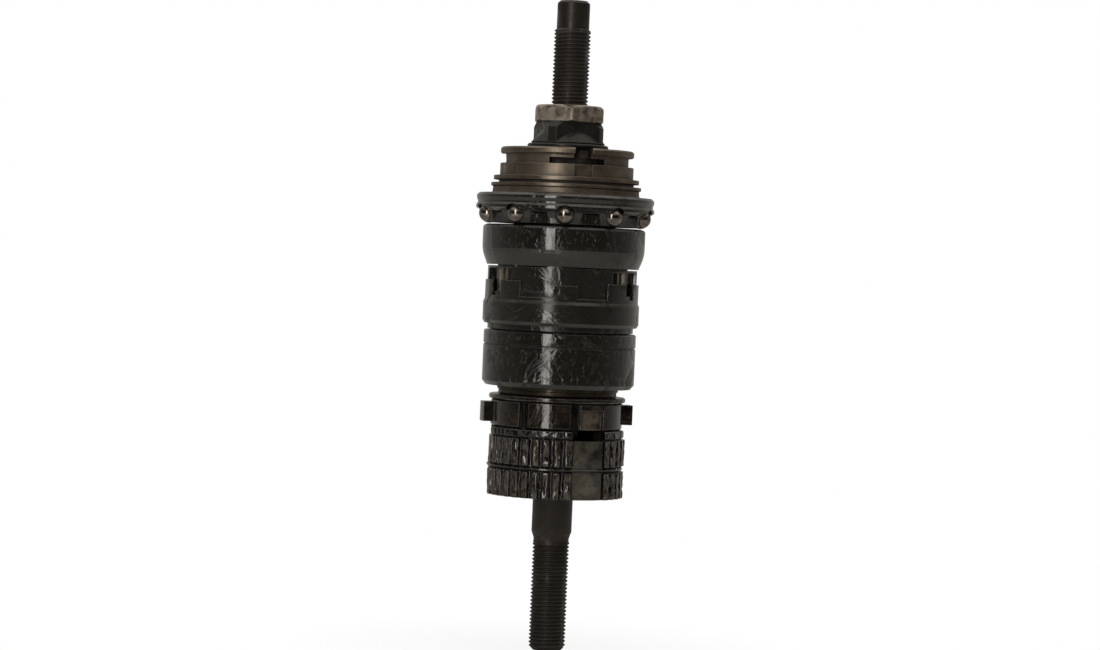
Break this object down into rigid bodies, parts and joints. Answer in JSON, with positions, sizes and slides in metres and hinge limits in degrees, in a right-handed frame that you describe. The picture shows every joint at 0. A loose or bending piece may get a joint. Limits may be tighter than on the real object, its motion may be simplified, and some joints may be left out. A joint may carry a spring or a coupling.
{
  "type": "coaster brake hub internal unit",
  "caption": "Internal unit of a bicycle hub with planetary gears and a coaster brake, on a threaded axle, with chain-side driver, caged balls and fluted brake shoes.",
  "frame": {"origin": "centre of the axle's brake-side end face", "axes": "+Z along the axle towards the chain side; -Y is the side that the picture shows, with +X to its right"},
  "size_m": [0.0462, 0.0462, 0.1681],
  "materials": {
    "axle_steel": "dark, oiled",
    "nickel_steel": "dull plated",
    "black_steel": "blackened, greasy",
    "dark_steel": "dark, greasy",
    "bronzed_steel": "heat tinted, brown",
    "bright_steel": "ground",
    "ball_steel": "polished",
    "bronze": "worn",
    "shoe_iron": "brown, greasy"
  },
  "bodies": {
    "axle": {"axle": "axle_steel", "lock_nut": "nickel_steel", "right_cone": "black_steel", "cone_dust_disc": "black_steel", "clutch_spring": "bright_steel", "thrust_washer": "bronze", "bronze_washer": "bronze", "shoe_anchor": "dark_steel", "shoe_spring": "bright_steel"},
    "driver": {"driver": "bronzed_steel", "driver_dust_washer": "bronzed_steel"},
    "shell_ball_cage": {"shell_ball_cage": "black_steel", "shell_balls": "ball_steel"},
    "cone_ball_cage": {"cone_ball_cage": "bright_steel", "cone_balls": "ball_steel"},
    "sliding_clutch": {"sliding_clutch": "bright_steel"},
    "clutch_sleeve": {"clutch_sleeve": "bright_steel", "clutch_key": "bright_steel"},
    "ring_gear": {"ring_gear": "black_steel"},
    "planet_carrier": {"planet_carrier": "dark_steel", "pinion_pins": "bright_steel", "castellated_ring": "black_steel"},
    "planet_pinion_1": {"planet_pinion_1": "bright_steel"},
    "planet_pinion_2": {"planet_pinion_2": "bright_steel"},
    "planet_pinion_3": {"planet_pinion_3": "bright_steel"},
    "clutch_drum": {"clutch_drum": "black_steel"},
    "clutch_roller_cage": {"clutch_roller_cage": "dark_steel", "clutch_rollers": "ball_steel"},
    "brake_cam": {"brake_cam": "dark_steel", "cam_friction_ring": "dark_steel"},
    "brake_shoe_1": {"brake_shoe_1": "shoe_iron", "brake_roller_1": "bright_steel"},
    "brake_shoe_2": {"brake_shoe_2": "shoe_iron", "brake_roller_2": "bright_steel"},
    "brake_shoe_3": {"brake_shoe_3": "shoe_iron", "brake_roller_3": "bright_steel"}
  },
  "joints": [
    {"name": "driver_spin", "type": "hinge", "parent": "axle", "child": "driver", "pos_m": [0, 0, 0.12552], "axis": [0, 0, 1], "continuous": true},
    {"name": "ring_gear_spin", "type": "hinge", "parent": "axle", "child": "ring_gear", "pos_m": [0, 0, 0.09935], "axis": [0, 0, 1], "continuous": true},
    {"name": "carrier_spin", "type": "hinge", "parent": "axle", "child": "planet_carrier", "pos_m": [0, 0, 0.08425], "axis": [0, 0, 1], "continuous": true},
    {"name": "pinion_1_spin", "type": "hinge", "parent": "planet_carrier", "child": "planet_pinion_1", "pos_m": [-0.01039, -0.006, 0.09235], "axis": [0, 0, 1], "continuous": true},
    {"name": "pinion_2_spin", "type": "hinge", "parent": "planet_carrier", "child": "planet_pinion_2", "pos_m": [0.01039, -0.006, 0.09235], "axis": [0, 0, 1], "continuous": true},
    {"name": "pinion_3_spin", "type": "hinge", "parent": "planet_carrier", "child": "planet_pinion_3", "pos_m": [0, 0.012, 0.09235], "axis": [0, 0, 1], "continuous": true},
    {"name": "shell_ball_cage_spin", "type": "hinge", "parent": "axle", "child": "shell_ball_cage", "pos_m": [0, 0, 0.11243], "axis": [0, 0, 1], "continuous": true},
    {"name": "cone_ball_cage_spin", "type": "hinge", "parent": "axle", "child": "cone_ball_cage", "pos_m": [0, 0, 0.12632], "axis": [0, 0, 1], "continuous": true},
    {"name": "clutch_drum_spin", "type": "hinge", "parent": "axle", "child": "clutch_drum", "pos_m": [0, 0, 0.0684], "axis": [0, 0, 1], "continuous": true},
    {"name": "roller_cage_spin", "type": "hinge", "parent": "axle", "child": "clutch_roller_cage", "pos_m": [0, 0, 0.0684], "axis": [0, 0, 1], "continuous": true},
    {"name": "clutch_slide", "type": "slide", "parent": "driver", "child": "sliding_clutch", "axis": [0, 0, 1], "range_m": [0, 0.0024], "deforming": ["clutch_spring"]},
    {"name": "clutch_sleeve_slide", "type": "slide", "parent": "axle", "child": "clutch_sleeve", "axis": [0, 0, 1], "range_m": [0, 0.0024]},
    {"name": "brake_cam_turn", "type": "hinge", "parent": "axle", "child": "brake_cam", "pos_m": [0, 0, 0.058], "axis": [0, 0, 1], "range_deg": [0, 12]},
    {"name": "brake_shoe_1_lift", "type": "slide", "parent": "axle", "child": "brake_shoe_1", "axis": [-0.4924, -0.8704, 0], "range_m": [0, 0.0004]},
    {"name": "brake_shoe_2_lift", "type": "slide", "parent": "axle", "child": "brake_shoe_2", "axis": [1, 0.0087, 0], "range_m": [0, 0.0004]},
    {"name": "brake_shoe_3_lift", "type": "slide", "parent": "axle", "child": "brake_shoe_3", "axis": [-0.5075, 0.8616, 0], "range_m": [0, 0.0004]}
  ],
  "couplings": [
    {"joint": "ring_gear_spin", "follows": "driver_spin", "ratio": 1},
    {"joint": "carrier_spin", "follows": "driver_spin", "ratio": 0.73333},
    {"joint": "pinion_1_spin", "follows": "driver_spin", "ratio": 0.8381},
    {"joint": "pinion_2_spin", "follows": "driver_spin", "ratio": 0.8381},
    {"joint": "pinion_3_spin", "follows": "driver_spin", "ratio": 0.8381},
    {"joint": "clutch_sleeve_slide", "follows": "clutch_slide", "ratio": 1},
    {"joint": "brake_shoe_1_lift", "follows": "brake_cam_turn", "m_per_rad": 0.0019099},
    {"joint": "brake_shoe_2_lift", "follows": "brake_cam_turn", "m_per_rad": 0.0019099},
    {"joint": "brake_shoe_3_lift", "follows": "brake_cam_turn", "m_per_rad": 0.0019099}
  ]
}
